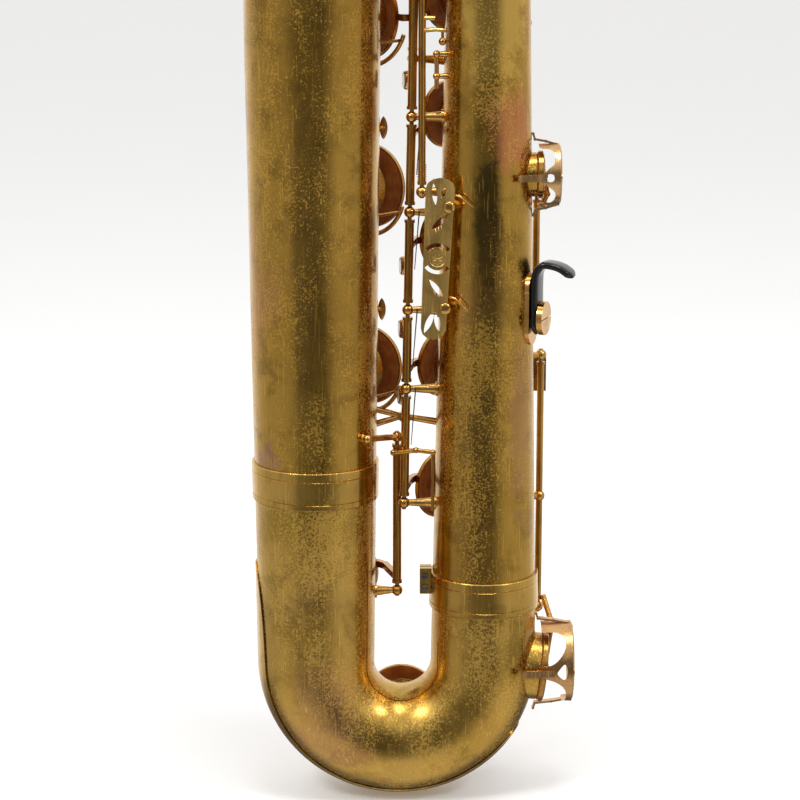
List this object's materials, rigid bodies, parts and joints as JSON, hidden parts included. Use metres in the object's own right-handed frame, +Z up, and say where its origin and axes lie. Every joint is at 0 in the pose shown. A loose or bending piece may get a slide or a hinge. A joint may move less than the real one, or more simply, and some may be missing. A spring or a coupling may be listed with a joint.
{
  "type": "saxophone",
  "caption": "Low-pitched saxophone with a bow-shaped lower bend, upright bell, pad keys on hinge rods, wire and pierced guards, neck and mouthpiece.",
  "frame": {"origin": "middle of the strap ring's hole", "axes": "+Z up along the tubes, +X towards the player, +Y towards the key cups"},
  "size_m": [0.4109, 0.1796, 1.0613],
  "materials": {
    "aged_lacquer": "aged lacquered brass, dulled and speckled",
    "key_brass": "worn lacquered brass",
    "polished_brass": "polished brass",
    "guard_brass": "rose-tinted sheet brass",
    "rod_steel": "dark turned steel",
    "blued_steel": "blued spring steel",
    "pad_leather": "dark red-brown leather",
    "cork": "natural cork",
    "ebonite": "polished hard rubber",
    "black_resin": "glossy black resin",
    "cane": "natural cane"
  },
  "bodies": {
    "horn": {"body_tube": "aged_lacquer", "bow": "aged_lacquer", "bell": "aged_lacquer", "bell_ferrule": "polished_brass", "body_ferrule": "polished_brass", "clamp_screws": "rod_steel", "bell_brace": "polished_brass", "upper_arch": "aged_lacquer", "lower_loop": "aged_lacquer", "loop_ferrules": "polished_brass", "neck_receiver": "polished_brass", "neck": "aged_lacquer", "neck_cork": "cork", "mouthpiece": "ebonite", "ligature": "polished_brass", "reed": "cane", "key_posts": "polished_brass", "hinge_rods": "rod_steel", "needle_springs": "blued_steel", "clothes_guard": "guard_brass", "guard_screws": "polished_brass", "thumb_hook": "black_resin", "thumb_hook_base": "polished_brass", "thumb_hook_screw": "polished_brass", "strap_ring": "polished_brass", "thumb_rest": "polished_brass", "e_flat_guard": "guard_brass", "trill_guard": "guard_brass", "bell_key_guards": "polished_brass"},
    "low_a": {"low_a_key": "key_brass", "low_a_pad": "pad_leather"},
    "low_b_flat": {"low_b_flat_key": "key_brass", "low_b_flat_pad": "pad_leather"},
    "low_b": {"low_b_key": "key_brass", "low_b_pad": "pad_leather"},
    "low_c_sharp": {"low_c_sharp_key": "key_brass", "low_c_sharp_pad": "pad_leather"},
    "low_c": {"low_c_key": "key_brass"},
    "e_flat": {"e_flat_key": "key_brass", "e_flat_pad": "pad_leather"},
    "d": {"d_key": "key_brass", "d_pad": "pad_leather"},
    "e": {"e_key": "key_brass", "e_pad": "pad_leather"},
    "f": {"f_key": "key_brass"},
    "f_sharp": {"f_sharp_key": "key_brass", "f_sharp_pad": "pad_leather"},
    "g": {"g_key": "key_brass", "g_pad": "pad_leather"},
    "g_sharp": {"g_sharp_key": "key_brass"},
    "g_sharp_lever": {"g_sharp_lever": "key_brass"},
    "a": {"a_key": "key_brass"},
    "b": {"b_key": "key_brass"},
    "c": {"c_key": "key_brass"},
    "side_trill": {"side_trill_key": "key_brass", "side_trill_pad": "pad_leather"},
    "palm": {"palm_key": "key_brass"},
    "octave": {"octave_key": "key_brass"},
    "neck_octave": {"neck_octave_key": "key_brass"},
    "water": {"water_key": "key_brass"}
  },
  "joints": [
    {"name": "low_a_turn", "type": "hinge", "parent": "horn", "child": "low_a", "pos_m": [-0.09869, 0.027, -0.06], "axis": [0, 0, 1], "range_deg": [0, 6.8], "stiffness_Nm_per_rad": 0.4},
    {"name": "low_b_flat_turn", "type": "hinge", "parent": "horn", "child": "low_b_flat", "pos_m": [-0.17819, 0.077, -0.187], "axis": [0, 0, 1], "range_deg": [-6.8, 0], "stiffness_Nm_per_rad": 0.4},
    {"name": "low_b_turn", "type": "hinge", "parent": "horn", "child": "low_b", "pos_m": [-0.17819, 0.077, -0.325], "axis": [0, 0, 1], "range_deg": [-6.8, 0], "stiffness_Nm_per_rad": 0.4},
    {"name": "low_c_sharp_turn", "type": "hinge", "parent": "horn", "child": "low_c_sharp", "pos_m": [-0.11039, 0.006, -0.45], "axis": [0, 0, 1], "range_deg": [-12, 0], "stiffness_Nm_per_rad": 0.4},
    {"name": "low_c_turn", "type": "hinge", "parent": "horn", "child": "low_c", "pos_m": [-0.03519, 0.056, -0.53], "axis": [0, 0, 1], "range_deg": [0, 5.4], "stiffness_Nm_per_rad": 0.4},
    {"name": "e_flat_turn", "type": "hinge", "parent": "horn", "child": "e_flat", "pos_m": [-0.00119, 0.03, -0.43], "axis": [0, 0, 1], "range_deg": [0, 9], "stiffness_Nm_per_rad": 0.4},
    {"name": "d_turn", "type": "hinge", "parent": "horn", "child": "d", "pos_m": [-0.10508, -0.003, -0.418], "axis": [0.0187, 0, 0.9998], "range_deg": [-7.36, 0], "stiffness_Nm_per_rad": 0.4},
    {"name": "e_turn", "type": "hinge", "parent": "horn", "child": "e", "pos_m": [-0.10328, -0.003, -0.322], "axis": [0.0187, 0, 0.9998], "range_deg": [-7.6, 0], "stiffness_Nm_per_rad": 0.4},
    {"name": "f_turn", "type": "hinge", "parent": "horn", "child": "f", "pos_m": [-0.10146, -0.003, -0.225], "axis": [0.0187, 0, 0.9998], "range_deg": [-7.86, 0], "stiffness_Nm_per_rad": 0.4},
    {"name": "f_sharp_turn", "type": "hinge", "parent": "horn", "child": "f_sharp", "pos_m": [-0.09972, -0.003, -0.132], "axis": [0.0187, 0, 0.9998], "range_deg": [-8.12, 0], "stiffness_Nm_per_rad": 0.4},
    {"name": "g_turn", "type": "hinge", "parent": "horn", "child": "g", "pos_m": [-0.09809, -0.003, -0.045], "axis": [0.0187, 0, 0.9998], "range_deg": [-8.38, 0], "stiffness_Nm_per_rad": 0.4},
    {"name": "a_turn", "type": "hinge", "parent": "horn", "child": "a", "pos_m": [-0.09691, -0.003, 0.018], "axis": [0.0187, 0, 0.9998], "range_deg": [-8.58, 0], "stiffness_Nm_per_rad": 0.4},
    {"name": "b_turn", "type": "hinge", "parent": "horn", "child": "b", "pos_m": [-0.09617, -0.003, 0.057], "axis": [0.0187, 0, 0.9998], "range_deg": [-8.71, 0], "stiffness_Nm_per_rad": 0.4},
    {"name": "c_turn", "type": "hinge", "parent": "horn", "child": "c", "pos_m": [-0.09554, -0.003, 0.091], "axis": [0.0187, 0, 0.9998], "range_deg": [-8.82, 0], "stiffness_Nm_per_rad": 0.4},
    {"name": "g_sharp_turn", "type": "hinge", "parent": "horn", "child": "g_sharp", "pos_m": [-0.01519, 0.03, -0.089], "axis": [0, 0, 1], "range_deg": [-14, 0], "stiffness_Nm_per_rad": 0.4},
    {"name": "g_sharp_lever_turn", "type": "hinge", "parent": "horn", "child": "g_sharp_lever", "pos_m": [-0.09219, -0.011, -0.09], "axis": [0, 0, 1], "range_deg": [0, 8], "stiffness_Nm_per_rad": 0.4},
    {"name": "side_trill_turn", "type": "hinge", "parent": "horn", "child": "side_trill", "pos_m": [-0.00619, 0.022, -0.22], "axis": [0, 0, 1], "range_deg": [0, 10], "stiffness_Nm_per_rad": 0.4},
    {"name": "palm_turn", "type": "hinge", "parent": "horn", "child": "palm", "pos_m": [-0.01419, -0.022, 0.18], "axis": [0, 0, 1], "range_deg": [0, 14], "stiffness_Nm_per_rad": 0.4},
    {"name": "octave_turn", "type": "hinge", "parent": "horn", "child": "octave", "pos_m": [-0.01059, 0.0082, 0.16], "axis": [0, 0, 1], "range_deg": [-12, 0], "stiffness_Nm_per_rad": 0.4},
    {"name": "neck_octave_turn", "type": "hinge", "parent": "horn", "child": "neck_octave", "pos_m": [0.00768, -0.02921, 0.40413], "axis": [-0.2079, 0.9781, 0], "range_deg": [0, 8], "stiffness_Nm_per_rad": 0.3},
    {"name": "water_turn", "type": "hinge", "parent": "horn", "child": "water", "pos_m": [-0.09297, -0.03115, 0.1766], "axis": [0.7986, 0.6018, 0], "range_deg": [-18, 0], "stiffness_Nm_per_rad": 0.2}
  ],
  "couplings": [
    {"joint": "f_sharp_turn", "follows": "f_turn", "ratio": 1.0324},
    {"joint": "g_sharp_turn", "follows": "g_sharp_lever_turn", "ratio": -1.75}
  ]
}
